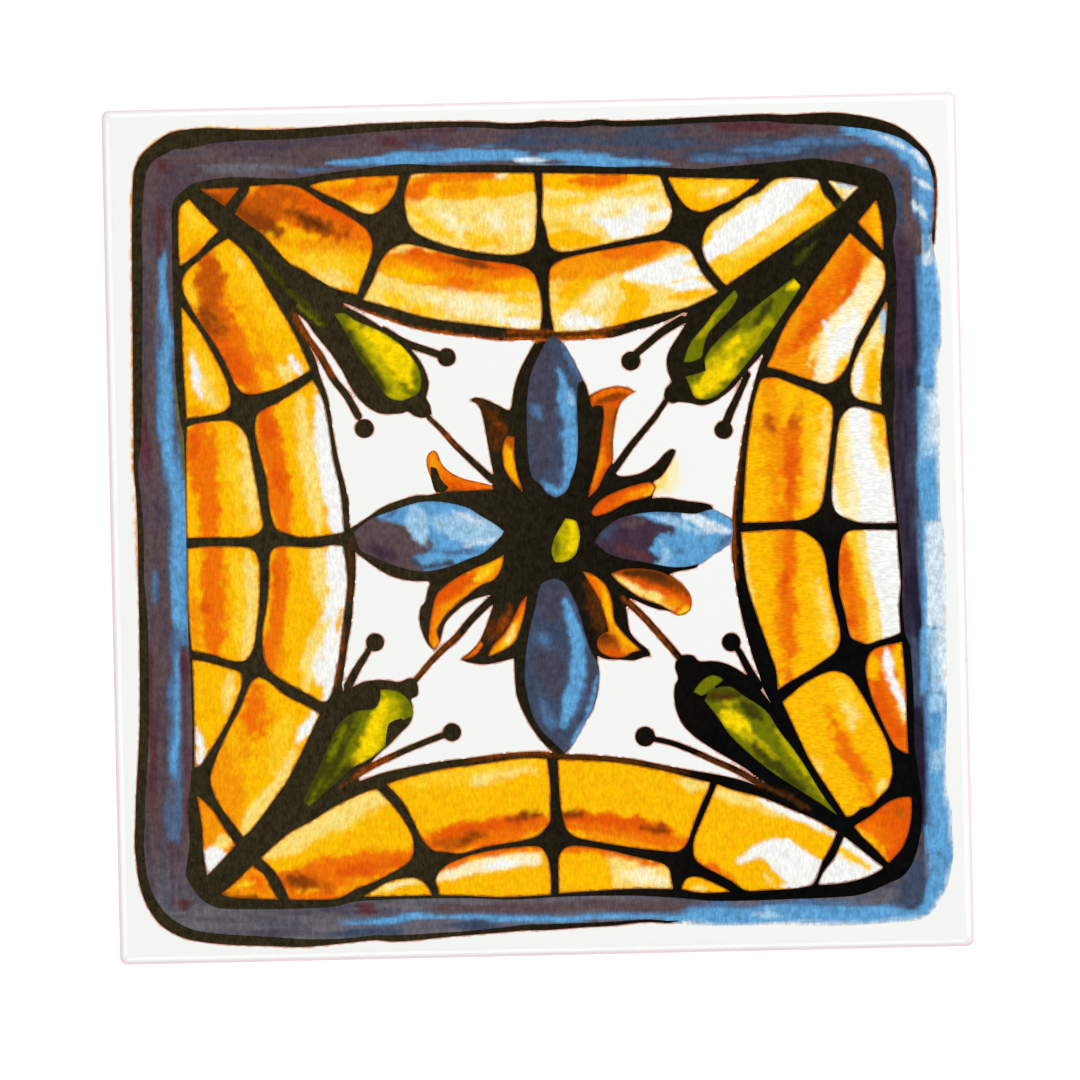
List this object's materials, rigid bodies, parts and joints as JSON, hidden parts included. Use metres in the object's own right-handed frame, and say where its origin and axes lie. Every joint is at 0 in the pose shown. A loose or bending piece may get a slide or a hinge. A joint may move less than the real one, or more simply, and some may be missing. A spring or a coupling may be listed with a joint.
{
  "type": "patterned ceramic wall tile",
  "caption": "Square glazed wall tile with a cushioned edge, a stained-glass style floral pattern on the face and keying grooves in the back.",
  "frame": {"origin": "centre of the back, in the plane that the back rests on", "axes": "+Z out of the glazed face, +X to the right and +Y to the top of the pattern as the face is looked at"},
  "size_m": [0.1, 0.1, 0.0065],
  "materials": {
    "white_glaze": "satin white glaze with a fine orange-peel grain",
    "bisque": "unglazed pale pink biscuit on the sides and back",
    "black_outline": "black brush outline fired into the glaze",
    "blue_wash": "slate purple and blue brush wash fired into the glaze",
    "ochre_wash": "golden ochre and orange brush wash fired into the glaze",
    "green_wash": "yellow to olive green brush wash fired into the glaze"
  },
  "bodies": {
    "root": {"tile": "white_glaze"}
  },
  "joints": []
}
